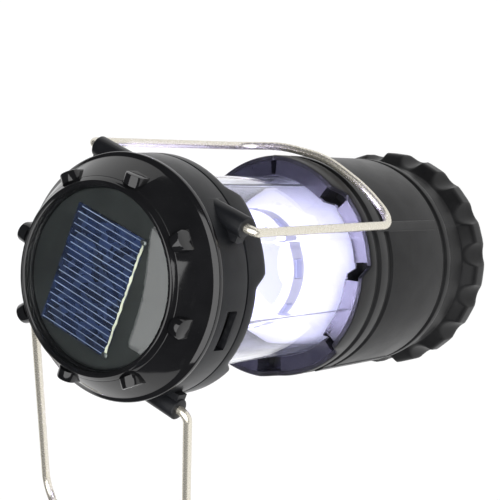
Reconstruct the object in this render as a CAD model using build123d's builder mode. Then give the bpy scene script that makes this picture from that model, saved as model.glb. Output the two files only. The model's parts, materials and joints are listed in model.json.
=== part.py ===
"""Collapsible solar lantern, drawn out to its full height.

Origin at the centre of the flat base, +Z up through the solar cell.  The charging port
faces +X, the front handle hangs on the +Y side and the rear handle is swung out over -Y.
"""
from math import cos, radians, sin
import os

from build123d import *

# ---- driving dimensions (mm, degrees) --------------------------------------------------
HEAD_R = 40.0            # outside of the skirt and the cap's rim
BARREL_R = 40.9          # outside of the barrel
TOP_Z = 191.0            # top of the bezel with the lantern drawn out
WIRE_R = 1.5             # handle wire
LOBE_ANGLES = (45, 135, 225, 315)
GAP_ANGLES = (0, 90, 180, 270)
HALF_LOBE = 15.3         # half width of a lobe at mid height, across the barrel
SHOULDER = 1.7           # how far a lobe's side leans over its height

# head, heights with the lantern drawn out
RIM_Z = 178.7            # the cap's widest edge
CONE_FOOT_Z = 180.0      # where the cap's cone starts, above the rim's chamfer
CONE_FOOT_R = 38.0
BEZEL_Z = 189.2          # underside of the bezel ring
BEZEL_R = 31.0           # outside of the bezel at its top
DOME_R = 29.2            # clear dome inside the bezel
DOME_RISE = 1.6          # dome above the bezel's top
CAP_SKIRT_Z = 176.4      # lower edge of the cap
SEAM_Z = 163.1           # skirt's upper edge, under the seam groove
SEAM_GAP = 0.8
SKIRT_EDGE_Z = 158.8     # skirt's lower edge between the lobes
LOBE_DROP = 5.0
SKIRT_WALL = 1.8
PLATE_Z = 161.0          # underside of the plate that closes the head

# lens tube and what it carries
TUBE_R = 33.0
TUBE_WALL = 1.6
TUBE_FOOT_Z = 78.5
FLANGE_R = 36.4
FLANGE_TOP_Z = 81.5
RING_Z = 103.0           # light ring on the reflector funnel
RING_H = 7.0
RING_R = 21.2
RING_BORE_R = 17.7

# barrel
MOUTH_Z = 94.5
MOUTH_DROP = 6.1         # depth of the recesses that take the lobes
MOUTH_BORE_R = 39.1
COLLAR_R = 33.4
COLLAR_FOOT_Z = 82.0
COLLAR_DROP = 0.4        # the collar's shelf under the mouth's edge
SLOT_W = 6.0             # slots in the collar, one at each step of the mouth
SLOT_DEPTH = 5.4
SLEEVE_BORE_R = 38.0
SLEEVE_FOOT_Z = 25.5
GROOVES_Z = (83.0, 74.3, 31.2)
GROOVE_W = 3.2
GROOVE_FLOOR_W = 1.6
GROOVE_DEPTH = 0.9
STRIP_W = 4.0            # raised strips along the barrel
STRIP_RISE = 0.4
STRIP_Z = (33.8, 81.2)

# base
BASE_R = 43.8
NECK_R = 38.8
BASE_BORE_R = 37.2
FLOOR_T = 3.1
SCALLOPS = 16
SCALLOP_START = 4.8
SCOOP_R = 5.0
SCOOP_AXIS_R = 46.9      # a scoop's axis at SCOOP_Z
SCOOP_Z = 2.6
SCOOP_LEAN = 13.7
COVER_R = 24.6
COVER_TOP_Z = 3.0
COVER_TWIST = 30.0

# handles
PIVOT_Y = 31.9
PIVOT_Z = 168.45
LUG_R = 3.6
LUG_END_X = 32.3
ARM_X = 36.0
ARM_LENGTH = 87.05
BAR_OUT = 1.2            # the arms' feet stand this far outside the pivot line
BOW = ((20.0, 8.0), (0.0, 11.6))      # (x, out) of the bar, so that it lies round the barrel
REAR_SWING = 62.0        # the rear handle's swing from hanging, as stored

# batteries, three AA cells
CELL_R = 7.15
CELL_PCD_R = 8.35
CELL_FOOT_Z = 7.9
CELL_LENGTH = 50.5
HOLDER_R = 17.2
HOLDER_TOP_Z = 62.0

# solar panel, as offset on its tray
PANEL_X = (-17.2, 12.0)
PANEL_Y = (-21.8, 18.6)
TRAY_TOP_Z = 186.7
PANEL_T = 0.5
FINGERS = 20

# charging port
PORT_Z = 170.1
PORT_W = 13.6
PORT_H = 5.0

os.makedirs("parts", exist_ok=True)


def radial_plane(angle, distance=0.0, height=0.0):
    """Plane that faces outward at an azimuth, local x tangential and local y upward."""
    a = radians(angle)
    return Plane(origin=(distance * cos(a), distance * sin(a), height),
                 x_dir=(-sin(a), cos(a), 0), z_dir=(cos(a), sin(a), 0))


def scoop_plane(angle):
    """Plane across the axis of one scoop in the base ring's corner, leaning inward."""
    a = radians(angle)
    lean = radians(SCOOP_LEAN)
    return Plane(origin=(SCOOP_AXIS_R * cos(a), SCOOP_AXIS_R * sin(a), SCOOP_Z),
                 z_dir=(-sin(lean) * cos(a), -sin(lean) * sin(a), cos(lean)))


def lathe(outline, mode=Mode.ADD):
    """Turn a closed outline of (radius, height) points about the Z axis."""
    with BuildSketch(Plane.XZ) as section:
        with BuildLine():
            Polyline(*outline, close=True)
        make_face()
    revolve(section.sketch, axis=Axis.Z, mode=mode)


def tube(outer, inner, low, high, mode=Mode.ADD):
    """Plain ring between two radii and two heights."""
    lathe([(inner, low), (outer, low), (outer, high), (inner, high)], mode)


def rod(x, y, low, high, radius, mode=Mode.ADD):
    """Upright round bar."""
    with BuildSketch(Plane.XY.offset(low)) as section:
        with Locations((x, y)):
            Circle(radius)
    extrude(section.sketch, amount=high - low, mode=mode)


def radial_bar(angle, near, far, outline, mode=Mode.ADD):
    """Prism along a radius; its outline is in (tangential, height) points."""
    with BuildSketch(radial_plane(angle, near)) as section:
        with BuildLine():
            Polyline(*outline, close=True)
        make_face()
    extrude(section.sketch, amount=far - near, mode=mode)


def lobed_edge(angles, near, far, edge, end, mode):
    """Cut between two heights, its sides leaning in towards the edge."""
    past = 1.5 if end > edge else -1.5
    lean = SHOULDER * (1 + abs(past / (end - edge)) * 2)
    for angle in angles:
        radial_bar(angle, near, far,
                   [(-HALF_LOBE + SHOULDER, edge), (HALF_LOBE - SHOULDER, edge),
                    (HALF_LOBE + lean, end + past), (-HALF_LOBE - lean, end + past)], mode)


def on_circle(radius, angle):
    """Point of the ground plane at a radius and an azimuth."""
    return radius * cos(radians(angle)), radius * sin(radians(angle))


def arch(half_width, top, foot):
    """Upright round-topped outline, a half circle over straight sides."""
    with BuildSketch() as face:
        with Locations((0, top - half_width)):
            Circle(half_width)
        with Locations((0, (top - half_width + foot) / 2)):
            Rectangle(2 * half_width, top - half_width - foot)
    return face.sketch


def finish(piece, name):
    """Label a piece and write it out under the same name."""
    piece.part.label = name
    export_step(piece.part, f"parts/{name}.step")


# ---- cap, bezel and dome -----------------------------------------------------------------
CONE_SLOPE = (CONE_FOOT_R - BEZEL_R) / (TOP_Z - CONE_FOOT_Z)
SEAT_R = CONE_FOOT_R - CONE_SLOPE * (BEZEL_Z - CONE_FOOT_Z)
BOSS_R = 3.4             # half width of the eight bosses round the cap
BOSS_TOP_Z = 190.4
BOSS_END = 35.6

with BuildPart() as top_cap:
    lathe([(37.6, CAP_SKIRT_Z), (39.4, CAP_SKIRT_Z), (HEAD_R, CAP_SKIRT_Z + 0.6),
           (HEAD_R, RIM_Z - 0.3), (CONE_FOOT_R + 0.5, CONE_FOOT_Z - 0.3),
           (CONE_FOOT_R, CONE_FOOT_Z), (SEAT_R, BEZEL_Z), (30.5, BEZEL_Z), (30.5, 187.6),
           (28.5, 187.6), (28.5, 186.0), (29.9, 186.0), (35.4, CONE_FOOT_Z - 0.4),
           (37.6, CONE_FOOT_Z - 1.8)])
    for step in range(8):
        with BuildSketch(radial_plane(45 * step, SEAT_R - 1.5)) as boss_face:
            add(arch(BOSS_R, BOSS_TOP_Z, CONE_FOOT_Z + 2))
        extrude(boss_face.sketch, amount=BOSS_END - SEAT_R + 1.5)
    tube(SEAT_R, 20, BEZEL_Z, TOP_Z + 2, Mode.SUBTRACT)
finish(top_cap, "top_cap")

with BuildPart() as bezel_ring:
    lathe([(DOME_R + 0.1, BEZEL_Z), (SEAT_R - 0.05, BEZEL_Z), (BEZEL_R, TOP_Z - 0.4),
           (BEZEL_R - 0.4, TOP_Z), (DOME_R + 0.6, TOP_Z), (DOME_R + 0.1, TOP_Z - 0.5)])
finish(bezel_ring, "bezel_ring")

DOME_TOP_Z = TOP_Z + DOME_RISE
FLANGED_R = 30.4
DOME_FLAT_R = 0.5

with BuildPart() as dome_cover:
    with BuildSketch(Plane.XZ) as dome_section:
        with BuildLine():
            Line((0, DOME_TOP_Z), (DOME_FLAT_R, DOME_TOP_Z))
            ThreePointArc((DOME_FLAT_R, DOME_TOP_Z), (DOME_R / 2, DOME_TOP_Z - 0.8),
                          (DOME_R, DOME_TOP_Z - 3.2))
            Polyline((DOME_R, DOME_TOP_Z - 3.2), (DOME_R, BEZEL_Z - 0.05),
                     (FLANGED_R, BEZEL_Z - 0.05), (FLANGED_R, 187.65), (28.2, 187.65))
            ThreePointArc((28.2, 187.65), (14.1, DOME_TOP_Z - 2.29),
                          (DOME_FLAT_R, DOME_TOP_Z - 1.4))
            Polyline((DOME_FLAT_R, DOME_TOP_Z - 1.4), (0, DOME_TOP_Z - 1.4), (0, DOME_TOP_Z))
        make_face()
    revolve(dome_section.sketch, axis=Axis.Z, mode=Mode.REPLACE)
finish(dome_cover, "dome_cover")

# ---- solar panel -------------------------------------------------------------------------
PANEL_TOP_Z = TRAY_TOP_Z + PANEL_T
PANEL_MID = (sum(PANEL_X) / 2, sum(PANEL_Y) / 2)
PANEL_SIZE = (PANEL_X[1] - PANEL_X[0], PANEL_Y[1] - PANEL_Y[0])
BUSBAR_W = 1.0

with BuildPart() as cell_tray:
    lathe([(0, 184.4), (29.6, 184.4), (29.6, 185.95), (28.3, 186.0), (28.3, TRAY_TOP_Z),
           (0, TRAY_TOP_Z)])
    for side in (-1, 1):
        rod(8, 2 * side, 184.4, TRAY_TOP_Z, 0.8, Mode.SUBTRACT)
finish(cell_tray, "cell_tray")

with BuildPart() as solar_cell:
    with BuildSketch(Plane.XY.offset(TRAY_TOP_Z)) as cell_face:
        with Locations(PANEL_MID):
            Rectangle(*PANEL_SIZE)
    extrude(amount=PANEL_T)
finish(solar_cell, "solar_cell")

with BuildPart() as cell_fingers:
    with BuildSketch(Plane.XY.offset(PANEL_TOP_Z)) as finger_faces:
        with Locations((PANEL_MID[0] - BUSBAR_W / 2 - 0.2, PANEL_MID[1])):
            with GridLocations(1, (PANEL_SIZE[1] - 1.6) / (FINGERS - 1), 1, FINGERS):
                Rectangle(PANEL_SIZE[0] - BUSBAR_W - 1.2, 0.24)
    extrude(amount=0.08)
finish(cell_fingers, "cell_fingers")

with BuildPart() as cell_busbar:
    with BuildSketch(Plane.XY.offset(PANEL_TOP_Z)) as busbar_face:
        with Locations((PANEL_X[1] - BUSBAR_W / 2, PANEL_MID[1])):
            Rectangle(BUSBAR_W, PANEL_SIZE[1] - 1.0)
    extrude(amount=0.2)
finish(cell_busbar, "cell_busbar")

# ---- head housing ------------------------------------------------------------------------
SCREW_R = 35.5           # circle of the four screws that close the head
LUG_ROOT_X = 19.0
BORE_END_X = 22.5        # inner end of the blind bores that take the handle pins

with BuildPart() as upper_housing:
    lathe([(37.2, SEAM_Z + SEAM_GAP), (40.1, SEAM_Z + SEAM_GAP), (39.5, CAP_SKIRT_Z - 0.02),
           (37.5, CAP_SKIRT_Z), (37.5, CAP_SKIRT_Z + 1.6), (36.0, CAP_SKIRT_Z + 1.6),
           (36.0, CAP_SKIRT_Z - 1.0), (37.2, CAP_SKIRT_Z - 2.2)])
    for side_y in (-1, 1):
        for side_x in (-1, 1):
            with BuildSketch(Plane.YZ.offset(side_x * LUG_ROOT_X)) as lug_face:
                with Locations((side_y * PIVOT_Y, PIVOT_Z)):
                    Circle(LUG_R)
                with Locations((side_y * (PIVOT_Y - LUG_R / 2 - 1), PIVOT_Z)):
                    Rectangle(LUG_R + 2, 2 * LUG_R - 2.4)
            extrude(amount=side_x * (LUG_END_X - LUG_ROOT_X))
    lathe([(20, 160), (37.2, 160), (37.2, 174.2), (36.0, 175.4), (36.0, 180), (20, 180)],
          Mode.SUBTRACT)
    for angle in LOBE_ANGLES:
        rod(*on_circle(SCREW_R, angle), SEAM_Z + SEAM_GAP, 171.0, 2.6)
    for angle in LOBE_ANGLES:
        rod(*on_circle(SCREW_R, angle), SEAM_Z + SEAM_GAP, 170.5, 1.15, Mode.SUBTRACT)
    for side_y in (-1, 1):
        with BuildSketch(Plane.YZ.offset(-LUG_END_X - 1)) as bore_face:
            with Locations((side_y * PIVOT_Y, PIVOT_Z)):
                Circle(WIRE_R + 0.05)
        extrude(bore_face.sketch, amount=LUG_END_X + 1 - BORE_END_X, mode=Mode.SUBTRACT)
        with BuildSketch(Plane.YZ.offset(LUG_END_X + 1)) as bore_face:
            with Locations((side_y * PIVOT_Y, PIVOT_Z)):
                Circle(WIRE_R + 0.05)
        extrude(bore_face.sketch, amount=BORE_END_X - LUG_END_X - 1, mode=Mode.SUBTRACT)
    with BuildSketch(Plane.YZ.offset(30)) as port_face:
        with Locations((0, PORT_Z)):
            RectangleRounded(PORT_W, PORT_H, 0.5)
    extrude(amount=15, mode=Mode.SUBTRACT)
finish(upper_housing, "upper_housing")

POST_ANGLES = (20, 140, 260)

with BuildPart() as skirt_ring:
    lathe([(29.5, PLATE_Z), (HEAD_R - SKIRT_WALL, PLATE_Z),
           (HEAD_R - SKIRT_WALL, SKIRT_EDGE_Z - LOBE_DROP),
           (HEAD_R - 0.3, SKIRT_EDGE_Z - LOBE_DROP),
           (HEAD_R, SKIRT_EDGE_Z - LOBE_DROP + 0.3), (HEAD_R, SEAM_Z - 0.3),
           (HEAD_R - 0.3, SEAM_Z), (38.9, SEAM_Z), (38.9, SEAM_Z + SEAM_GAP),
           (29.5, SEAM_Z + SEAM_GAP)])
    lobed_edge(GAP_ANGLES, 25, 50, SKIRT_EDGE_Z, SKIRT_EDGE_Z - LOBE_DROP, Mode.SUBTRACT)
    for angle in LOBE_ANGLES:
        rod(*on_circle(SCREW_R, angle), PLATE_Z, SEAM_Z + SEAM_GAP, 1.3, Mode.SUBTRACT)
    for angle in POST_ANGLES:
        rod(*on_circle(31.5, angle), SEAM_Z + SEAM_GAP, 165.6, 1.9)
finish(skirt_ring, "skirt_ring")

with BuildPart() as head_screws:
    for angle in LOBE_ANGLES:
        rod(*on_circle(SCREW_R, angle), PLATE_Z, 170.0, 1.1)
        rod(*on_circle(SCREW_R, angle), PLATE_Z - 1.5, PLATE_Z, 2.1)
    with BuildSketch(Plane.XY.offset(PLATE_Z - 1.5)) as screw_slots:
        for angle in LOBE_ANGLES:
            with Locations(on_circle(SCREW_R, angle)):
                Rectangle(3.0, 0.6)
                Rectangle(0.6, 3.0)
    extrude(amount=0.8, mode=Mode.SUBTRACT)
finish(head_screws, "head_screws")

# ---- electronics in the head ---------------------------------------------------------------
BOARD_Z = 165.6
BOARD_T = 1.6
PORT_DEPTH = 12.0
PORT_MOUTH_X = 36.4

with BuildPart() as charge_board:
    with BuildSketch(Plane.XY.offset(BOARD_Z)) as board_face:
        Circle(34.0)
        for angle in LOBE_ANGLES:
            with Locations(on_circle(SCREW_R, angle)):
                Circle(3.0, mode=Mode.SUBTRACT)
    extrude(amount=BOARD_T)
finish(charge_board, "charge_board")

with BuildPart() as usb_socket:
    with BuildSketch(Plane.YZ.offset(PORT_MOUTH_X - PORT_DEPTH)) as socket_outer:
        with Locations((0, PORT_Z)):
            RectangleRounded(13.2, 5.7, 0.6)
    extrude(amount=PORT_DEPTH)
    with BuildSketch(Plane.YZ.offset(PORT_MOUTH_X - PORT_DEPTH + 1)) as socket_inner:
        with Locations((0, PORT_Z)):
            RectangleRounded(12.5, 5.0, 0.4)
    extrude(amount=PORT_DEPTH, mode=Mode.SUBTRACT)
finish(usb_socket, "usb_socket")

with BuildPart() as usb_tongue:
    with BuildSketch(Plane.YZ.offset(PORT_MOUTH_X - PORT_DEPTH + 1)) as tongue_face:
        with Locations((0, PORT_Z + 0.9)):
            Rectangle(11.1, 1.8)
    extrude(amount=6.5)
finish(usb_tongue, "usb_tongue")

with BuildPart() as board_parts:
    board_top = BOARD_Z + BOARD_T
    rod(-14, 12, board_top, board_top + 8, 3.2)
    rod(-22, -8, board_top, board_top + 6, 4.0)
    with BuildSketch(Plane.XY.offset(board_top)) as chips:
        with Locations((-4, -12)):
            Rectangle(9, 6)
        with Locations((2, 15)):
            Rectangle(5, 4)
        with Locations((10, -20)):
            Rectangle(8, 5)
    extrude(amount=1.8)
finish(board_parts, "board_parts")

with BuildPart() as cell_leads:
    for side in (-1, 1):
        with BuildLine() as lead_path:
            FilletPolyline((8, 2 * side, 186.6), (8, 2 * side, 178), (14, 3 * side, 174),
                           (14, 3 * side, board_top), radius=4)
        with BuildSketch(Plane.XY.offset(186.6)) as lead_section:
            with Locations((8, 2 * side)):
                Circle(0.6)
        sweep(lead_section.sketch, path=lead_path.line)
finish(cell_leads, "cell_leads")

LED_R = 2.5
LED_PCD_R = 22.0
LED_COUNT = 6

with BuildPart() as led_board:
    with BuildSketch(Plane.XY.offset(PLATE_Z)) as led_board_face:
        Circle(29.2)
    extrude(amount=1.6)
finish(led_board, "led_board")

with BuildPart() as reflector_plate:
    with BuildSketch(Plane.XY.offset(PLATE_Z - 1.2)) as plate_face:
        Circle(TUBE_R - TUBE_WALL - 0.15)
        with PolarLocations(LED_PCD_R, LED_COUNT):
            Circle(LED_R + 0.6, mode=Mode.SUBTRACT)
    extrude(amount=1.2)
finish(reflector_plate, "reflector_plate")

with BuildPart() as leds:
    with BuildSketch(Plane.XY.offset(PLATE_Z)) as led_flanges:
        with PolarLocations(LED_PCD_R, LED_COUNT):
            Circle(LED_R + 0.4)
    extrude(amount=-1.0)
    with BuildSketch(Plane.XY.offset(PLATE_Z - 1.0)) as led_bodies:
        with PolarLocations(LED_PCD_R, LED_COUNT):
            Circle(LED_R)
    extrude(amount=-5.5)
    fillet(leds.edges().group_by(Axis.Z)[0], radius=2.3)
finish(leds, "leds")

# ---- lens tube and what rides in it --------------------------------------------------------
with BuildPart() as lens_tube:
    tube(TUBE_R, TUBE_R - TUBE_WALL, TUBE_FOOT_Z, PLATE_Z)
finish(lens_tube, "lens_tube")

with BuildPart() as tube_flange:
    lathe([(29.5, TUBE_FOOT_Z - 1.5), (FLANGE_R, TUBE_FOOT_Z - 1.5), (FLANGE_R, FLANGE_TOP_Z),
           (TUBE_R, FLANGE_TOP_Z), (TUBE_R, TUBE_FOOT_Z), (29.5, TUBE_FOOT_Z)])
finish(tube_flange, "tube_flange")

FUNNEL_FOOT_R = TUBE_R - TUBE_WALL - 0.15

with BuildPart() as reflector_funnel:
    lathe([(29.5, TUBE_FOOT_Z), (FUNNEL_FOOT_R, TUBE_FOOT_Z), (FUNNEL_FOOT_R, 80.0),
           (22.6, RING_Z - 1.2), (RING_R, RING_Z), (RING_BORE_R, RING_Z),
           (RING_BORE_R, RING_Z - 1.2), (21.0, RING_Z - 1.8)])
finish(reflector_funnel, "reflector_funnel")

SIDE_LEDS = 8
POCKET_W = 7.0
POCKET_H = 4.4
POCKET_FLOOR_R = RING_R - 0.8

with BuildPart() as light_ring:
    rod(0, 0, RING_Z, RING_Z + RING_H, RING_R)
    rod(0, 0, RING_Z - 1, RING_Z + RING_H + 1, RING_BORE_R, Mode.SUBTRACT)
    for step in range(SIDE_LEDS):
        mid = RING_Z + RING_H / 2
        radial_bar(360 / SIDE_LEDS * step + 25, POCKET_FLOOR_R, RING_R + 1,
                   [(-POCKET_W / 2, mid - POCKET_H / 2), (POCKET_W / 2, mid - POCKET_H / 2),
                    (POCKET_W / 2, mid + POCKET_H / 2), (-POCKET_W / 2, mid + POCKET_H / 2)],
                   Mode.SUBTRACT)
finish(light_ring, "light_ring")

with BuildPart() as side_leds:
    for step in range(SIDE_LEDS):
        with BuildSketch(radial_plane(360 / SIDE_LEDS * step + 25, POCKET_FLOOR_R)) as chip:
            with Locations((0, RING_Z + RING_H / 2)):
                Rectangle(POCKET_W - 0.8, POCKET_H - 0.8)
        extrude(chip.sketch, amount=1.0)
finish(side_leds, "side_leds")

RAIL_ANGLES = (80, 100, 265)
RAIL_FACE_R = 37.15
RAIL_TOP_Z = 81.5
RAIL_FOOT_Z = (30.0, 30.0, 68.0)

with BuildPart() as contact_wipers:
    for angle in RAIL_ANGLES:
        radial_bar(angle, 33.2, RAIL_FACE_R - 0.3,
                   [(-1.5, TUBE_FOOT_Z - 3), (1.5, TUBE_FOOT_Z - 3),
                    (1.5, TUBE_FOOT_Z - 1.5), (-1.5, TUBE_FOOT_Z - 1.5)])
finish(contact_wipers, "contact_wipers")

# ---- barrel --------------------------------------------------------------------------------
with BuildPart() as sleeve:
    lathe([(SLEEVE_BORE_R, SLEEVE_FOOT_Z), (BARREL_R, SLEEVE_FOOT_Z), (BARREL_R, MOUTH_Z),
           (MOUTH_BORE_R, MOUTH_Z), (MOUTH_BORE_R, COLLAR_FOOT_Z),
           (SLEEVE_BORE_R, COLLAR_FOOT_Z)])
    for angle in LOBE_ANGLES:
        radial_bar(angle, SLEEVE_BORE_R + 1, BARREL_R + STRIP_RISE,
                   [(-STRIP_W / 2, STRIP_Z[0]), (STRIP_W / 2, STRIP_Z[0]),
                    (STRIP_W / 2, STRIP_Z[1]), (-STRIP_W / 2, STRIP_Z[1])])
    for height in GROOVES_Z:
        lathe([(BARREL_R - GROOVE_DEPTH, height - GROOVE_FLOOR_W / 2),
               (BARREL_R, height - GROOVE_W / 2), (BARREL_R + 1, height - GROOVE_W / 2),
               (BARREL_R + 1, height + GROOVE_W / 2), (BARREL_R, height + GROOVE_W / 2),
               (BARREL_R - GROOVE_DEPTH, height + GROOVE_FLOOR_W / 2)], Mode.SUBTRACT)
    lobed_edge(LOBE_ANGLES, 30, 50, MOUTH_Z - MOUTH_DROP, MOUTH_Z, Mode.SUBTRACT)
    chamfer(sleeve.edges().filter_by(GeomType.CIRCLE).group_by(Axis.Z)[0], length=0.4)
finish(sleeve, "sleeve")

with BuildPart() as collar_ring:
    shelf = MOUTH_Z - COLLAR_DROP
    slot_floor = MOUTH_Z - MOUTH_DROP - SLOT_DEPTH
    tube(MOUTH_BORE_R - 0.05, COLLAR_R, COLLAR_FOOT_Z, shelf)
    lobed_edge(LOBE_ANGLES, 20, 45, shelf - MOUTH_DROP, shelf, Mode.SUBTRACT)
    for step in range(8):
        radial_bar(45 * step + 22.5, 30, 45,
                   [(-SLOT_W / 2, slot_floor), (SLOT_W / 2, slot_floor),
                    (SLOT_W / 2, MOUTH_Z + 1), (-SLOT_W / 2, MOUTH_Z + 1)], Mode.SUBTRACT)
finish(collar_ring, "collar_ring")

with BuildPart() as contact_rails:
    for angle, foot in zip(RAIL_ANGLES, RAIL_FOOT_Z):
        radial_bar(angle, RAIL_FACE_R, 37.9,
                   [(-2, foot), (2, foot), (2, RAIL_TOP_Z), (-2, RAIL_TOP_Z)])
finish(contact_rails, "contact_rails")

# ---- base ----------------------------------------------------------------------------------
LIP_R = 25.0             # opening that the battery cover closes
REBATE_R = 27.0
REBATE_Z = 1.3
FOOT_SCREW_R = 31.0

with BuildPart() as base_ring:
    lathe([(REBATE_R, REBATE_Z), (LIP_R, REBATE_Z), (LIP_R, 0), (41.6, 0), (43.0, 0.8),
           (BASE_R, 2.6), (BASE_R, 8.0), (43.2, 9.0), (NECK_R, 12.8),
           (NECK_R, SLEEVE_FOOT_Z), (SLEEVE_BORE_R - 0.1, SLEEVE_FOOT_Z),
           (SLEEVE_BORE_R - 0.1, 29.0), (BASE_BORE_R, 29.0), (BASE_BORE_R, FLOOR_T),
           (REBATE_R, FLOOR_T)])
    for step in range(SCALLOPS):
        with BuildSketch(scoop_plane(SCALLOP_START + 360 / SCALLOPS * step)) as scoop_face:
            Circle(SCOOP_R)
        extrude(scoop_face.sketch, amount=14, both=True, mode=Mode.SUBTRACT)
    for step in range(3):
        radial_bar(120 * step + COVER_TWIST, 20, REBATE_R,
                   [(-3.6, -1), (3.6, -1), (3.6, REBATE_Z + 0.1), (-3.6, REBATE_Z + 0.1)],
                   Mode.SUBTRACT)
    for angle in LOBE_ANGLES:
        rod(*on_circle(FOOT_SCREW_R, angle), -1, FLOOR_T + 1, 1.4, Mode.SUBTRACT)
        rod(*on_circle(FOOT_SCREW_R, angle), -1, 1.9, 2.7, Mode.SUBTRACT)
finish(base_ring, "base_ring")

with BuildPart() as base_screws:
    for angle in LOBE_ANGLES:
        rod(*on_circle(FOOT_SCREW_R, angle), 0.4, 1.9, 2.5)
        rod(*on_circle(FOOT_SCREW_R, angle), 1.9, 4.9, 1.2)
    with BuildSketch(Plane.XY.offset(0.4)) as foot_slots:
        for angle in LOBE_ANGLES:
            with Locations(on_circle(FOOT_SCREW_R, angle)):
                Rectangle(3.4, 0.7)
                Rectangle(0.7, 3.4)
    extrude(amount=0.9, mode=Mode.SUBTRACT)
finish(base_screws, "base_screws")

with BuildPart() as battery_cover:
    rod(0, 0, 0, COVER_TOP_Z, COVER_R)
    for step in range(3):
        radial_bar(120 * step, 15, REBATE_R - 0.35,
                   [(-3.0, REBATE_Z + 0.1), (3.0, REBATE_Z + 0.1),
                    (3.0, COVER_TOP_Z), (-3.0, COVER_TOP_Z)])
    with BuildSketch() as finger_slots:
        with Locations((-10, 0), (10, 0)):
            SlotOverall(12, 4.0, rotation=90)
    extrude(amount=1.2, mode=Mode.SUBTRACT)
finish(battery_cover, "battery_cover")

# ---- batteries -----------------------------------------------------------------------------
with BuildPart() as battery_holder:
    tube(HOLDER_R, HOLDER_R - 1.2, FLOOR_T, HOLDER_TOP_Z)
    tube(33.5, HOLDER_R - 1.2, FLOOR_T, 5.0)
    tube(HOLDER_R, 0.5, HOLDER_TOP_Z - 1.4, HOLDER_TOP_Z)
    for angle in LOBE_ANGLES:
        rod(*on_circle(FOOT_SCREW_R, angle), FLOOR_T, 5.0, 1.25, Mode.SUBTRACT)
finish(battery_holder, "battery_holder")

with BuildPart() as battery_cells:
    for step in range(3):
        x, y = on_circle(CELL_PCD_R, 120 * step + 30)
        rod(x, y, CELL_FOOT_Z, CELL_FOOT_Z + CELL_LENGTH - 1.0, CELL_R)
        rod(x, y, CELL_FOOT_Z + CELL_LENGTH - 1.0, CELL_FOOT_Z + CELL_LENGTH, 2.75)
finish(battery_cells, "battery_cells")

with BuildPart() as contact_plate:
    tube(15.0, 0.5, CELL_FOOT_Z + CELL_LENGTH + 0.05, CELL_FOOT_Z + CELL_LENGTH + 0.85)
finish(contact_plate, "contact_plate")

SPRING_R = 3.4
SPRING_WIRE_R = 0.35

with BuildPart() as contact_springs:
    for step in range(3):
        x, y = on_circle(CELL_PCD_R, 120 * step + 30)
        with BuildLine() as coil:
            Helix(pitch=1.5, height=4.0, radius=SPRING_R, center=(x, y, 3.0 + SPRING_WIRE_R))
        start = coil.line @ 0
        with BuildSketch(Plane(origin=start, z_dir=coil.line % 0)) as wire_face:
            Circle(SPRING_WIRE_R)
        sweep(wire_face.sketch, path=coil.line, is_frenet=True)
finish(contact_springs, "contact_springs")


# ---- handles -------------------------------------------------------------------------------
def handle_point(side, swing, x, out, down):
    """Point of a handle from its pivot line, swung out from hanging by an angle."""
    a = radians(swing)
    return (x, side * (PIVOT_Y + out * cos(a) + down * sin(a)),
            PIVOT_Z - down * cos(a) + out * sin(a))


def handle_path(side, swing):
    """Centre line of a handle: pin, arm, bowed bar, arm and pin."""
    half = [(23.2, 0, 0), (ARM_X, 0, 0), (ARM_X, BAR_OUT, ARM_LENGTH)]
    half += [(x, out, ARM_LENGTH) for x, out in BOW]
    route = half + [(-x, out, down) for x, out, down in reversed(half[:-1])]
    return [handle_point(side, swing, *stop) for stop in route]


def bend_handle(side, swing):
    """Bend one handle from wire."""
    with BuildLine() as centre_line:
        FilletPolyline(*handle_path(side, swing), radius=(2.8, 8.5, 60, 40, 60, 8.5, 2.8))
    with BuildSketch(Plane.YZ.offset(23.2)) as wire_section:
        with Locations((side * PIVOT_Y, PIVOT_Z)):
            Circle(WIRE_R)
    sweep(wire_section.sketch, path=centre_line.line)


with BuildPart() as front_handle:
    bend_handle(1, 0)
finish(front_handle, "front_handle")

with BuildPart() as rear_handle:
    bend_handle(-1, REAR_SWING)
finish(rear_handle, "rear_handle")
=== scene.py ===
"""Looks of the collapsible solar lantern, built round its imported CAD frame."""
import json
import math
import random

import bmesh
import bpy
from mathutils import Matrix, Vector


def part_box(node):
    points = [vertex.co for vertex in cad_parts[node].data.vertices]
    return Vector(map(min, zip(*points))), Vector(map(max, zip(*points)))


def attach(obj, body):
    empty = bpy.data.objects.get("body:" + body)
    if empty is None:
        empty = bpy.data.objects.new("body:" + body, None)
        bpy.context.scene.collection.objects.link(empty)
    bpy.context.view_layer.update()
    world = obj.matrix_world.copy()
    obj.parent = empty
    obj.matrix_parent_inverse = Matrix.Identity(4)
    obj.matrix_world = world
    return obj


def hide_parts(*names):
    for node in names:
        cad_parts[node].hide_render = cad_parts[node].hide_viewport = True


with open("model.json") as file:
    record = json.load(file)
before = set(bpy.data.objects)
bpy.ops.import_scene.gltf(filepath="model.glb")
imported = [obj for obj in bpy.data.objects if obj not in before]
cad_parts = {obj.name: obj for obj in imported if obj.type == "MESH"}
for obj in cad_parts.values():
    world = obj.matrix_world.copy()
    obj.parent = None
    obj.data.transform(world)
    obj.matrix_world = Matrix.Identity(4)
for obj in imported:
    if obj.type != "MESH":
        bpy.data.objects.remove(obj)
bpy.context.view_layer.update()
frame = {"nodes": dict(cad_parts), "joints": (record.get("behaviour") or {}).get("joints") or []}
MM = 0.001


# ---- places and sizes, in millimetres, read from the frame ----------------------------------
def low(node):
    """Lowest corner of a CAD node in millimetres."""
    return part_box(node)[0] / MM


def high(node):
    """Highest corner of a CAD node in millimetres."""
    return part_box(node)[1] / MM


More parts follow.
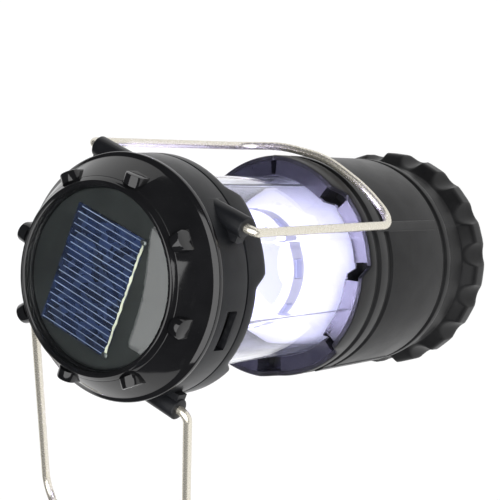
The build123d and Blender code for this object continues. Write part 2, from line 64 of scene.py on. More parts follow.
HEAD_R = high("top_cap").x
BARREL_R = 40.9
TOP_Z = high("bezel_ring").z
BEZEL_Z = low("bezel_ring").z
SEAT_R = high("bezel_ring").x + 0.05
CAP_FOOT_Z = low("top_cap").z
RIM_Z = CAP_FOOT_Z + 2.3
CONE_Z = RIM_Z + 1.3
CONE_R = HEAD_R - 2
DOME_TOP_Z = high("dome_cover").z
DOME_FLANGE_R = high("dome_cover").x
DOME_DROP = 3.2
DOME_POWER = 3.2
DOME_RIM_R = 29.2
DOME_WALL = 1.4
PANEL_LOW = low("solar_cell")
PANEL_HIGH = high("solar_cell")
HOUSING_Z = low("upper_housing").z
HOUSING_TOP_Z = high("upper_housing").z
SKIRT_FOOT_Z = low("skirt_ring").z
SEAM_Z = HOUSING_Z - 0.8
PLATE_Z = high("lens_tube").z
SKIRT_DROP = 5.0
TUBE_R = high("lens_tube").x
TUBE_FOOT_Z = low("lens_tube").z
TUBE_WALL = 1.6
MOUTH_Z = high("sleeve").z
MOUTH_DROP = 6.1
SLEEVE_Z = low("sleeve").z
COLLAR_Z = low("collar_ring").z
COLLAR_R = TUBE_R + 0.4
SLEEVE_BORE_R = 38.0
MOUTH_BORE_R = 39.1
BASE_R = high("base_ring").x
BASE_TOP_Z = high("base_ring").z
NECK_R = 38.8
RING_LOW = low("light_ring").z
RING_HIGH = high("light_ring").z
RING_R = high("light_ring").x
JOINTS = {joint["name"]: joint for joint in frame["joints"]}
PIVOT = Vector(JOINTS["front_handle_pivot"]["pos_m"]) / MM
LOBES = (45, 135, 225, 315)
LOBE_HALF = 22.5


# ---- mesh kit -------------------------------------------------------------------------------
def new_piece(name, bm, sharp=38):
    """Turn a bmesh in millimetres into an object, smooth but for edges over an angle."""
    bmesh.ops.remove_doubles(bm, verts=bm.verts, dist=0.002)
    bmesh.ops.recalc_face_normals(bm, faces=bm.faces)
    bmesh.ops.scale(bm, verts=bm.verts, vec=(MM, MM, MM))
    mesh = bpy.data.meshes.new(name)
    bm.to_mesh(mesh)
    bm.free()
    piece = bpy.data.objects.new(name, mesh)
    bpy.context.scene.collection.objects.link(piece)
    smooth_by_angle(piece, sharp)
    return piece


def smooth_by_angle(piece, sharp):
    """Shade a mesh smooth and mark the edges sharper than an angle in degrees."""
    bm = bmesh.new()
    bm.from_mesh(piece.data)
    for face in bm.faces:
        face.smooth = True
    for edge in bm.edges:
        edge.smooth = len(edge.link_faces) == 2 and edge.calc_face_angle() < math.radians(sharp)
    bm.to_mesh(piece.data)
    bm.free()


def turn(count, extra=()):
    """Azimuths round a full turn in degrees, with extra ones near what needs them."""
    angles = {round(360 * i / count, 4) for i in range(count)}
    angles.update(round(a % 360, 4) for a in extra)
    return sorted(angles)


def polar_skin(bm, outline, angles):
    """Skin a closed outline round Z. outline(angle) gives its (radius, height) points."""
    rings = []
    for angle in angles:
        c = math.cos(math.radians(angle))
        s = math.sin(math.radians(angle))
        rings.append([bm.verts.new((r * c, r * s, z)) for r, z in outline(angle)])
    for here, there in zip(rings, rings[1:] + rings[:1]):
        for i in range(len(here)):
            k = (i + 1) % len(here)
            corners = [here[i], there[i], there[k], here[k]]
            if max(v.co.xy.length for v in corners) > 1e-6:
                bm.faces.new(corners)
    return bm


def lathe(name, outline, count=144, rounding=0.25, sharp=38):
    """Object turned from a closed outline whose corners are rounded a little."""
    points = round_corners(outline, rounding)
    return new_piece(name, polar_skin(bmesh.new(), lambda angle: points, turn(count)), sharp)


def round_corners(outline, radius, steps=3):
    """Closed outline with each corner off the axis replaced by a small arc."""
    points = []
    count = len(outline)
    for i, corner in enumerate(outline):
        here = Vector(corner[:2])
        size = corner[2] if len(corner) > 2 else radius
        before = Vector(outline[i - 1][:2]) - here
        after = Vector(outline[(i + 1) % count][:2]) - here
        reach = min(size, before.length * 0.45, after.length * 0.45)
        if here.x < 1e-6 or reach < 0.02:
            points.append(tuple(here))
            continue
        start = here + before.normalized() * reach
        end = here + after.normalized() * reach
        for step in range(steps + 1):
            t = step / steps
            points.append(tuple(start * (1 - t) ** 2 + here * 2 * t * (1 - t) + end * t ** 2))
    return points


def radial_prism(bm, angle, sections):
    """Loft along a radius. Each section is (radius, outline of (tangential, height))."""
    a = math.radians(angle)
    out = Vector((math.cos(a), math.sin(a), 0))
    side = Vector((-math.sin(a), math.cos(a), 0))
    loops = []
    for radius, outline in sections:
        loops.append([bm.verts.new(out * radius + side * t + Vector((0, 0, z)))
                      for t, z in outline])
    for here, there in zip(loops, loops[1:]):
        for i in range(len(here)):
            k = (i + 1) % len(here)
            bm.faces.new((here[i], here[k], there[k], there[i]))
    bm.faces.new(list(reversed(loops[0])))
    bm.faces.new(loops[-1])


def arch_outline(half, top, foot, inset=0.0, steps=18):
    """Round-topped outline, pulled in by an inset."""
    centre = top - half
    radius = half - inset
    points = []
    for i in range(steps + 1):
        a = math.pi * i / steps
        points.append((radius * math.cos(a), centre + radius * math.sin(a)))
    return points + [(-radius, foot), (radius, foot)]


def box_outline(half, foot, top, inset=0.0):
    """Rectangular outline, pulled in by an inset."""
    return [(-half + inset, foot + inset), (half - inset, foot + inset),
            (half - inset, top - inset), (-half + inset, top - inset)]


def cylinder(bm, start, end, radius, rounding=0.0, segments=40):
    """Closed round bar between two points, its far end rounded."""
    start = Vector(start)
    along = Vector(end) - start
    length = along.length
    along.normalize()
    side = along.orthogonal().normalized()
    up = along.cross(side)
    stops = [(0.0, radius), (length - rounding, radius)]
    for step in (30, 60, 90):
        if rounding:
            a = math.radians(step)
            stops.append((length - rounding + rounding * math.sin(a),
                          radius - rounding + rounding * math.cos(a)))
    loops = []
    for along_by, r in stops:
        loops.append([bm.verts.new(start + along * along_by
                                   + side * r * math.cos(2 * math.pi * i / segments)
                                   + up * r * math.sin(2 * math.pi * i / segments))
                      for i in range(segments)])
    for here, there in zip(loops, loops[1:]):
        for i in range(segments):
            k = (i + 1) % segments
            bm.faces.new((here[i], here[k], there[k], there[i]))
    bm.faces.new(list(reversed(loops[0])))
    bm.faces.new(loops[-1])


def combine(piece, tool, operation):
    """Add a tool to a piece or take it away, and discard the tool."""
    step = piece.modifiers.new(operation.lower(), "BOOLEAN")
    step.object = tool
    step.operation = operation
    step.solver = "EXACT"
    settle(piece)
    bpy.data.objects.remove(tool)


def settle(piece):
    """Apply a piece's modifiers."""
    graph = bpy.context.evaluated_depsgraph_get()
    mesh = bpy.data.meshes.new_from_object(piece.evaluated_get(graph))
    piece.modifiers.clear()
    piece.data = mesh


def soften(piece, width, angle=40, segments=2):
    """Round the edges sharper than an angle."""
    step = piece.modifiers.new("bevel", "BEVEL")
    step.width = width * MM
    step.segments = segments
    step.limit_method = "ANGLE"
    step.angle_limit = math.radians(angle)
    step.use_clamp_overlap = True
    settle(piece)


def smoothstep(edge0, edge1, x):
    """Soft ramp from 0 to 1."""
    t = min(max((x - edge0) / (edge1 - edge0), 0.0), 1.0)
    return t * t * (3 - 2 * t)


def off_lobe(angle):
    """Degrees between an azimuth and the middle of the nearest lobe."""
    return min(abs((angle - lobe + 180) % 360 - 180) for lobe in LOBES)


def lobe(angle, ramp=8.0):
    """1 across a lobe and 0 between lobes, with soft shoulders."""
    return 1 - smoothstep(LOBE_HALF - ramp / 2, LOBE_HALF + ramp / 2, off_lobe(angle))


def lobe_edges(offsets):
    """Azimuths close to both edges of every lobe."""
    return [middle + side * (LOBE_HALF + d) for middle in LOBES for side in (-1, 1) for d in offsets]


def place(piece, body, material, slot, *nodes):
    """Hang a finished piece on its body in place of its CAD nodes."""
    if material:
        piece.data.materials.clear()
        piece.data.materials.append(material)
    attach(piece, body)
    if nodes:
        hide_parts(*nodes)
    return piece


# ---- material kit ---------------------------------------------------------------------------
class Nodes:
    """Short way to build a material's node tree."""

    def __init__(self, name):
        self.material = bpy.data.materials.new(name)
        self.material.use_nodes = True
        self.tree = self.material.node_tree
        self.shader = self.tree.nodes["Principled BSDF"]
        self.output = self.tree.nodes["Material Output"]
        self.position = self.tree.nodes.new("ShaderNodeTexCoord").outputs["Object"]

    def add(self, kind, links=(), **values):
        node = self.tree.nodes.new("ShaderNode" + kind)
        for key, value in values.items():
            if hasattr(node, key):
                setattr(node, key, value)
            else:
                node.inputs[key.replace("_", " ")].default_value = value
        for socket, source in dict(links).items():
            self.tree.links.new(source, node.inputs[socket])
        return node

    def link(self, source, target):
        self.tree.links.new(source, target)

    def noise(self, scale, detail=3.0, roughness=0.55, stretch=(1, 1, 1)):
        """Noise over the object's own space; scale is in features per metre."""
        mapping = self.add("Mapping", {"Vector": self.position})
        mapping.inputs["Scale"].default_value = stretch
        node = self.add("TexNoise", {"Vector": mapping.outputs[0]}, Scale=scale, Detail=detail)
        node.inputs["Roughness"].default_value = roughness
        return node.outputs["Fac"]

    def ramp(self, source, start, end, low_value=0.0, high_value=1.0):
        """Map part of a value's range to another range."""
        node = self.add("MapRange", {"Value": source})
        node.inputs["From Min"].default_value = start
        node.inputs["From Max"].default_value = end
        node.inputs["To Min"].default_value = low_value
        node.inputs["To Max"].default_value = high_value
        return node.outputs["Result"]

    def maths(self, operation, first, second=0.0):
        """A sum, product or other operation on two values or sockets."""
        node = self.add("Math", operation=operation)
        for socket, value in zip(node.inputs, (first, second)):
            if isinstance(value, (int, float)):
                socket.default_value = value
            else:
                self.link(value, socket)
        return node.outputs[0]

    def blend_colours(self, factor, first, second):
        """Mix two colours by a factor socket."""
        node = self.add("Mix", data_type="RGBA")
        self.link(factor, node.inputs[0])
        for socket, value in zip((node.inputs[6], node.inputs[7]), (first, second)):
            if isinstance(value, tuple):
                socket.default_value = (*value, 1)
            else:
                self.link(value, socket)
        return node.outputs[2]

    def bump(self, height, strength, distance):
        """Bump the shader's normal by a height socket; distance is in metres."""
        node = self.add("Bump", {"Height": height}, Strength=strength, Distance=distance)
        self.link(node.outputs[0], self.shader.inputs["Normal"])

    def set(self, **values):
        """Set constants on the shader's own sockets."""
        for key, value in values.items():
            self.shader.inputs[key.replace("_", " ")].default_value = value


def moulded(name, colour, rough, variation, grain, grain_depth, wear=0.0, dust=0.06, shine=0.5):
    """Moulded plastic: mottled tone, uneven gloss, fine grain and a little dust."""
    n = Nodes(name)
    tone = n.noise(90, 4)
    lighter = tuple(min(c * 1.5 + 0.004, 1) for c in colour)
    base = n.blend_colours(n.ramp(tone, 0.35, 0.7), colour, lighter)
    specks = n.ramp(n.noise(5200, 2, 0.6), 0.72, 0.8, 0.0, dust)
    dusty = n.blend_colours(specks, base, (0.32, 0.31, 0.29))
    if wear:
        edge = n.ramp(n.add("NewGeometry").outputs["Pointiness"], 0.53, 0.6, 0.0, wear)
        worn = n.maths("MULTIPLY", edge, n.ramp(n.noise(700, 4), 0.4, 0.65))
        dusty = n.blend_colours(worn, dusty, tuple(c + 0.07 for c in colour))
    n.link(dusty, n.shader.inputs["Base Color"])
    smudge = n.ramp(n.noise(60, 5, 0.65), 0.3, 0.75, rough - variation, rough + variation)
    n.link(n.maths("ADD", smudge, n.maths("MULTIPLY", specks, 1.5)), n.shader.inputs["Roughness"])
    n.bump(n.noise(grain, 2, 0.5), 0.35, grain_depth * MM)
    n.set(Specular_IOR_Level=shine)
    return n.material


def scratched_gloss(name, colour, rough):
    """Polished moulding with hairline scratches, ripple and dust."""
    n = Nodes(name)
    tone = n.blend_colours(n.ramp(n.noise(70, 3), 0.3, 0.7), colour,
                           tuple(c * 1.7 + 0.002 for c in colour))
    specks = n.ramp(n.noise(4300, 2, 0.6), 0.74, 0.8, 0.0, 0.22)
    n.link(n.blend_colours(specks, tone, (0.4, 0.4, 0.38)), n.shader.inputs["Base Color"])
    hairs = n.noise(900, 2, 0.5, (1, 0.06, 0.5))
    cross = n.noise(900, 2, 0.5, (0.05, 1, 0.4))
    lines = n.maths("MAXIMUM", n.ramp(hairs, 0.66, 0.7), n.ramp(cross, 0.67, 0.71))
    cloud = n.ramp(n.noise(45, 4, 0.6), 0.3, 0.7, rough * 0.6, rough * 1.5)
    rough_all = n.maths("ADD", cloud, n.maths("MULTIPLY", lines, 0.06))
    n.link(n.maths("ADD", rough_all, specks), n.shader.inputs["Roughness"])
    ripple = n.maths("ADD", n.noise(55, 2), n.maths("MULTIPLY", lines, -0.03))
    n.bump(ripple, 0.25, 0.25 * MM)
    return n.material


def metal(name, colour, rough, streak=(1, 1, 1), grime=(0.25, 0.22, 0.18), metallic=1.0):
    """Plated metal with drawn streaks, uneven gloss and faint grime."""
    n = Nodes(name)
    patch = n.ramp(n.noise(160, 3, 0.5), 0.5, 0.75, 0.0, 0.2)
    n.link(n.blend_colours(patch, colour, tuple(c * g * 2 for c, g in zip(colour, grime))),
           n.shader.inputs["Base Color"])
    lines = n.noise(2600, 3, 0.6, streak)
    n.link(n.ramp(lines, 0.3, 0.7, rough * 0.88, rough * 1.15), n.shader.inputs["Roughness"])
    n.bump(lines, 0.08, 0.01 * MM)
    n.set(Metallic=metallic)
    return n.material


def clear_plastic(name, colour, ior, rough, glow=0.0):
    """Clear moulding that lets light from lamps straight through, and may carry a faint painted glow.
    """
    n = Nodes(name)
    n.set(Base_Color=(*colour, 1), IOR=ior, Transmission_Weight=1.0)
    # painted glow: a faint lavender emission, though the moulding is no lamp
    n.set(Emission_Color=(0.72, 0.76, 1.0, 1), Emission_Strength=glow)
    n.link(n.ramp(n.noise(70, 4, 0.6), 0.35, 0.75, rough * 0.5, rough * 2),
           n.shader.inputs["Roughness"])
    n.bump(n.noise(40, 2), 0.12, 0.2 * MM)
    path = n.add("LightPath")
    passing = n.add("BsdfTransparent")
    passing.inputs["Color"].default_value = (*colour, 1)
    mix = n.add("MixShader")
    n.link(path.outputs["Is Shadow Ray"], mix.inputs[0])
    n.link(n.shader.outputs[0], mix.inputs[1])
    n.link(passing.outputs[0], mix.inputs[2])
    n.link(mix.outputs[0], n.output.inputs["Surface"])
    return n.material


def glowing(name, colour, light, strength, rough=0.35):
    """White plastic with an emission, mottled a little: a lamp's own light, or on other parts a
    painted glow standing in for light from close by.
    """
    n = Nodes(name)
    n.link(n.blend_colours(n.ramp(n.noise(120, 3), 0.3, 0.7), colour,
                           tuple(c * 0.92 for c in colour)), n.shader.inputs["Base Color"])
    n.link(n.ramp(n.noise(200, 3), 0.3, 0.7, rough * 0.7, rough * 1.3),
           n.shader.inputs["Roughness"])
    n.bump(n.noise(1500, 2), 0.2, 0.03 * MM)
    # the emission: a lamp's light, or a painted glow on a part that is no lamp
    n.set(Emission_Color=(*light, 1), Emission_Strength=strength)
    return n.material


def silicon(name):
    """Blue polycrystalline cell under resin: flat crystals of uneven tone."""
    n = Nodes(name)
    cells = n.add("TexVoronoi", {"Vector": n.position}, Scale=420.0)
    grey = n.add("SeparateColor", {"Color": cells.outputs["Color"]}).outputs[0]
    patches = n.add("TexVoronoi", {"Vector": n.position}, Scale=150.0)
    broad = n.add("SeparateColor", {"Color": patches.outputs["Color"]}).outputs[1]
    mixed = n.maths("ADD", n.maths("MULTIPLY", grey, 0.55), n.maths("MULTIPLY", broad, 0.45))
    shade = n.ramp(mixed, 0.2, 0.8)
    n.link(n.blend_colours(shade, (0.003, 0.005, 0.014), (0.006, 0.014, 0.05)),
           n.shader.inputs["Base Color"])
    n.link(n.ramp(grey, 0, 1, 0.16, 0.34), n.shader.inputs["Roughness"])
    n.bump(n.noise(1400, 3), 0.15, 0.02 * MM)
    n.set(Coat_Weight=0.5, Coat_Roughness=0.08)
    return n.material


GLOSS = scratched_gloss("gloss_black_plastic", (0.004, 0.004, 0.0045), 0.07)
SATIN = moulded("satin_black_plastic", (0.007, 0.0075, 0.009), 0.34, 0.06, 3800, 0.02,
                wear=0.2, dust=0.03, shine=0.2)
SATIN_BARREL = moulded("barrel_black_plastic", (0.007, 0.007, 0.0075), 0.36, 0.06, 3000, 0.02,
                       wear=0.2, dust=0.02, shine=0.17)
COLLAR = moulded("collar_black_plastic", (0.012, 0.012, 0.015), 0.14, 0.04, 2400, 0.01,
                 wear=0.1, dust=0.03)
TRAY = moulded("tray_grey_plastic", (0.005, 0.006, 0.006), 0.42, 0.06, 2600, 0.004,
               dust=0.02, shine=0.4)
DOME = clear_plastic("clear_dome_plastic", (0.96, 0.985, 0.975), 1.42, 0.012)
# painted glow: the clear tube carries a faint lavender emission of 0.02
LENS = clear_plastic("clear_lens_plastic", (0.95, 0.95, 1.0), 1.3, 0.03, 0.02)
SILICON = silicon("polycrystalline_silicon")
FINGER = moulded("printed_silver", (0.13, 0.16, 0.23), 0.42, 0.1, 1500, 0.01)
BUSBAR = moulded("tinned_strip", (0.42, 0.42, 0.33), 0.4, 0.12, 900, 0.06, dust=0.3)
SOLDER = metal("solder", (0.16, 0.17, 0.17), 0.35)
WIRE = metal("nickel_wire", (0.74, 0.7, 0.6), 0.26, (0.3, 1, 1), (0.47, 0.46, 0.44), 0.75)
STEEL = metal("zinc_steel", (0.55, 0.55, 0.54), 0.3)
BRASS = metal("contact_brass", (0.7, 0.5, 0.2), 0.28)
# painted glow: the white reflector funnel and LED board emit light at 0.15, though they are no lamp
WHITE_PAINTED_GLOW = glowing("white_reflector_painted_glow", (0.86, 0.87, 0.92), (0.78, 0.8, 1.0), 0.15)
# painted glow: the battery holder emits light at 0.2, though it is no lamp
HOLDER_PAINTED_GLOW = glowing("white_holder_painted_glow", (0.86, 0.87, 0.92), (0.84, 0.86, 1.0), 0.2)
# painted glow: the barrel's bore emits light at 0.7 so it reads as lit, though it is no lamp
BORE_PAINTED_GLOW = glowing("barrel_bore_painted_glow", (0.5, 0.5, 0.53), (0.86, 0.88, 1.0), 0.7)
LAMP = glowing("lit_reflector", (0.9, 0.9, 1.0), (0.66, 0.62, 1.0), 16.0)
# painted glow: the light ring's plastic emits faint lavender light at 0.1, though it is no lamp
RING_PAINTED_GLOW = glowing("light_ring_painted_glow", (0.42, 0.42, 0.5), (0.6, 0.6, 1.0), 0.1)
CHIP = glowing("led_chip", (0.26, 0.27, 0.42), (0.5, 0.52, 1.0), 0.2)
BULB = glowing("led_epoxy", (0.9, 0.92, 1.0), (0.75, 0.78, 1.0), 25.0)
BOARD = moulded("circuit_board", (0.012, 0.1, 0.045), 0.35, 0.08, 1500, 0.03)
PARTS = moulded("component_cases", (0.03, 0.03, 0.035), 0.4, 0.1, 1500, 0.02)
JACKET = moulded("cell_jacket", (0.05, 0.07, 0.14), 0.3, 0.08, 1200, 0.01)
LEAD = moulded("lead_insulation", (0.35, 0.01, 0.01), 0.45, 0.08, 1500, 0.01)


# ---- cap, bezel, dome -----------------------------------------------------------------------
BOSS_HALF = 3.4
BOSS_TOP_Z = high("top_cap").z
BOSS_END_R = 35.6


def build_cap():
    """Glossy cap: a steep cone on a round rim, with eight round-topped bosses."""
    cap = lathe("cap_shell", [
        (37.6, CAP_FOOT_Z), (39.3, CAP_FOOT_Z, 0.3), (HEAD_R, CAP_FOOT_Z + 0.6, 0.4),
        (HEAD_R, RIM_Z, 0.5), (CONE_R + 0.45, CONE_Z - 0.35, 0.2), (CONE_R + 0.1, CONE_Z + 0.15, 0.2),
        (SEAT_R, BEZEL_Z, 0.12), (30.5, BEZEL_Z), (30.5, BEZEL_Z - 1.6), (28.5, BEZEL_Z - 1.6),
        (28.5, BEZEL_Z - 3.2), (29.9, BEZEL_Z - 3.2), (35.4, CONE_Z - 0.4), (37.6, CONE_Z - 1.8),
    ], 192, 0.15)
    bm = bmesh.new()
    foot = CONE_Z + 2
    inner = SEAT_R - 0.6
    for step in range(8):
        radial_prism(bm, 45 * step, [
            (inner, arch_outline(BOSS_HALF + 0.15, BOSS_TOP_Z, foot)),
            (BOSS_END_R - 0.55, arch_outline(BOSS_HALF, BOSS_TOP_Z, foot)),
            (BOSS_END_R - 0.16, arch_outline(BOSS_HALF, BOSS_TOP_Z, foot, 0.16)),
            (BOSS_END_R, arch_outline(BOSS_HALF, BOSS_TOP_Z, foot, 0.55)),
        ])
    bosses = new_piece("bosses", bm)
    combine(cap, bosses, "UNION")
    seat = lathe("seat", [(10, BEZEL_Z), (SEAT_R, BEZEL_Z), (SEAT_R, TOP_Z + 2), (10, TOP_Z + 2)],
                 192, 0.0)
    combine(cap, seat, "DIFFERENCE")
    smooth_by_angle(cap, 32)
    place(cap, "head", GLOSS, "gloss_black", "top_cap")

    bezel = lathe("bezel", [
        (29.3, BEZEL_Z), (SEAT_R - 0.05, BEZEL_Z, 0.1), (31.05, TOP_Z - 0.5, 0.5),
        (30.7, TOP_Z, 0.3), (29.95, TOP_Z, 0.15), (29.8, TOP_Z - 0.35, 0.1), (29.3, TOP_Z - 0.5),
    ], 192, 0.15)
    place(bezel, "head", GLOSS, "gloss_black", "bezel_ring")


def build_dome():
    """Clear dome with a flange held under the bezel."""
    steps = [DOME_RIM_R * i / 24 for i in range(25)]
    outer = [(r, DOME_TOP_Z - DOME_DROP * (r / DOME_RIM_R) ** DOME_POWER) for r in steps]
    inner = [(r * 0.966, z - DOME_WALL) for r, z in reversed(outer)]
    flange_z = BEZEL_Z - 0.05
    flange = [(DOME_RIM_R, flange_z), (DOME_FLANGE_R, flange_z), (DOME_FLANGE_R, 187.65)]
    outline = outer + flange + inner
    bm = polar_skin(bmesh.new(), lambda angle: outline, turn(160))
    place(new_piece("dome_lens", bm), "head", DOME, "clear_dome", "dome_cover")


# ---- solar panel ----------------------------------------------------------------------------
def build_panel():
    """Solar cell on its tray, with printed fingers and a hand-soldered busbar."""
    tray = lathe("panel_tray", [(0, 184.4), (29.6, 184.4), (29.6, 185.95), (28.3, 186.0),
                                (28.3, PANEL_LOW.z, 0.3), (0, PANEL_LOW.z)], 96, 0.1)
    place(tray, "head", TRAY, "tray_plastic", "cell_tray")
    rng = random.Random(7)
    top = PANEL_HIGH.z
    bm = bmesh.new()
    box(bm, PANEL_LOW, PANEL_HIGH)
    cell = new_piece("cell_wafer", bm)
    soften(cell, 0.08)
    place(cell, "head", SILICON, "solar_silicon", "solar_cell")
    bm = bmesh.new()
    count = 20
    span = high("cell_fingers").y - low("cell_fingers").y - 0.24
    for i in range(count):
        y = low("cell_fingers").y + 0.12 + span * i / (count - 1)
        start = PANEL_LOW.x + (1.9 if i % 2 else 0.7) + rng.uniform(-0.25, 0.25)
        wide = 0.12 + rng.uniform(-0.02, 0.03)
        box(bm, Vector((start, y - wide, top)), Vector((PANEL_HIGH.x - 1.2, y + wide, top + 0.07)))
    place(new_piece("silver_fingers", bm), "head", FINGER, "silver_print", "cell_fingers")
    bm = bmesh.new()
    right = PANEL_HIGH.x
    rows = 90
    rims = []
    for i in range(rows + 1):
        y = low("cell_busbar").y + (high("cell_busbar").y - low("cell_busbar").y) * i / rows
        step = 0.28 * math.sin(i * 0.9) * math.sin(i * 0.23) + rng.uniform(-0.12, 0.12)
        left = right - 1.0 + step * 0.6 + (0.15 if (i // 9) % 2 else 0.0)
        edge = right - 0.12 + 0.12 * math.sin(i * 0.55) + (0.0 if (i // 13) % 2 else 0.1)
        crown = top + 0.2 + rng.uniform(-0.03, 0.03)
        rims.append([bm.verts.new(p) for p in ((left, y, top), (left + 0.15, y, crown),
                                               (edge - 0.15, y, crown), (edge, y, top))])
    for here, there in zip(rims, rims[1:]):
        for k in range(4):
            m = (k + 1) % 4
            bm.faces.new((here[k], here[m], there[m], there[k]))
    bm.faces.new(list(reversed(rims[0])))
    bm.faces.new(rims[-1])
    place(new_piece("busbar_strip", bm, 50), "head", BUSBAR, "busbar_strip", "cell_busbar")
    bm = bmesh.new()
    for y in (low("cell_busbar").y + 0.4, high("cell_busbar").y - 0.4):
        bmesh.ops.create_icosphere(bm, subdivisions=3, radius=1.25,
                                   matrix=Matrix.Translation((right - 0.5, y, top + 0.05))
                                   @ Matrix.Diagonal((1.0, 0.8, 0.35, 1)))
    place(new_piece("solder_joints", bm), "head", SOLDER, "plated_steel")


def box(bm, corner, opposite):
    """Closed box between two corners."""
    x0, y0, z0 = corner
    x1, y1, z1 = opposite
    lower = [bm.verts.new(p) for p in ((x0, y0, z0), (x1, y0, z0), (x1, y1, z0), (x0, y1, z0))]
    upper = [bm.verts.new(p) for p in ((x0, y0, z1), (x1, y0, z1), (x1, y1, z1), (x0, y1, z1))]
    bm.faces.new(list(reversed(lower)))
    bm.faces.new(upper)
    for i in range(4):
        k = (i + 1) % 4
        bm.faces.new((lower[i], lower[k], upper[k], upper[i]))


# ---- head housing ---------------------------------------------------------------------------
LUG_R = 3.6
LUG_START_X = 18
LUG_END_X = 32.3
CORNERS = [(side_x, side_y) for side_x in (-1, 1) for side_y in (-1, 1)]
PORT_Z = 170.1


def port_outline(grow=0.0):
    """Rounded outline of the charging port."""
    return round_corners(box_outline(6.8 + grow, PORT_Z - 2.5 - grow, PORT_Z + 2.5 + grow), 0.6)


def build_housing():
    """Head housing with four tube lugs for the handles and a port slot."""
    housing = lathe("housing_shell", [
        (30, HOUSING_Z), (39.95, HOUSING_Z, 0.35), (39.55, CAP_FOOT_Z - 0.02, 0.1),
        (37.5, CAP_FOOT_Z), (37.5, HOUSING_TOP_Z), (30, HOUSING_TOP_Z)], 192, 0.15)
    bm = bmesh.new()
    for side_x, side_y in CORNERS:
        y = side_y * PIVOT.y
        cylinder(bm, (side_x * LUG_START_X, y, PIVOT.z), (side_x * LUG_END_X, y, PIVOT.z), LUG_R, 0.45)
    combine(housing, new_piece("lugs", bm), "UNION")
    bm = bmesh.new()
    for side_x, side_y in CORNERS:
        x = sorted((side_x * LUG_START_X, side_x * (LUG_END_X - 0.6)))
        y = sorted((side_y * (PIVOT.y - 5.2), side_y * PIVOT.y))
        box(bm, Vector((x[0], y[0], PIVOT.z - 2.1)), Vector((x[1], y[1], PIVOT.z + 2.1)))
    combine(housing, new_piece("webs", bm), "UNION")
    cavity = lathe("cavity", [(0, HOUSING_Z - 3), (37.2, HOUSING_Z - 3), (37.2, 174.2),
                              (36.0, 175.4), (36.0, 182), (0, 182)], 96, 0.0)
    combine(housing, cavity, "DIFFERENCE")
    bm = bmesh.new()
    for side_x, side_y in CORNERS:
        y = side_y * PIVOT.y
        cylinder(bm, (side_x * 22.5, y, PIVOT.z), (side_x * ARM_X, y, PIVOT.z), WIRE_R + 0.07)
    combine(housing, new_piece("bores", bm), "DIFFERENCE")
    bm = bmesh.new()
    radial_prism(bm, 0, [(30, port_outline()), (39.3, port_outline()), (40.8, port_outline(0.7))])
    combine(housing, new_piece("port", bm), "DIFFERENCE")
    smooth_by_angle(housing, 30)
    place(housing, "head", SATIN, "satin_black", "upper_housing")


def build_skirt():
    """Skirt ring under the housing, with four lobes on soft shoulders."""
    wall = HEAD_R - 1.8

    def outline(angle):
        edge = SKIRT_FOOT_Z + SKIRT_DROP * (1 - lobe(angle))
        return [(38.9, HOUSING_Z), (38.9, SEAM_Z), (39.7, SEAM_Z), (39.92, SEAM_Z - 0.1),
                (HEAD_R, SEAM_Z - 0.35), (HEAD_R, edge + 1.6), (HEAD_R, edge + 0.5),
                (39.88, edge + 0.2), (39.6, edge + 0.03), (39.2, edge), (wall + 0.3, edge),
                (wall, edge + 0.25), (wall, PLATE_Z), (29.5, PLATE_Z), (29.5, HOUSING_Z)]

    extra = lobe_edges((-3, -1.5, 0, 1.5, 3))
    skirt = new_piece("skirt_shell", polar_skin(bmesh.new(), outline, turn(180, extra)))
    place(skirt, "head", SATIN, "satin_black", "skirt_ring")


# ---- lens tube and lamp ---------------------------------------------------------------------
SEAM_TURN = -2.7
FUNNEL_FOOT_R = 31.25
FUNNEL_BORE_R = 18.2
RING_BORE_R = 17.7
RING_LIGHTS = 8
RING_TURN = 25


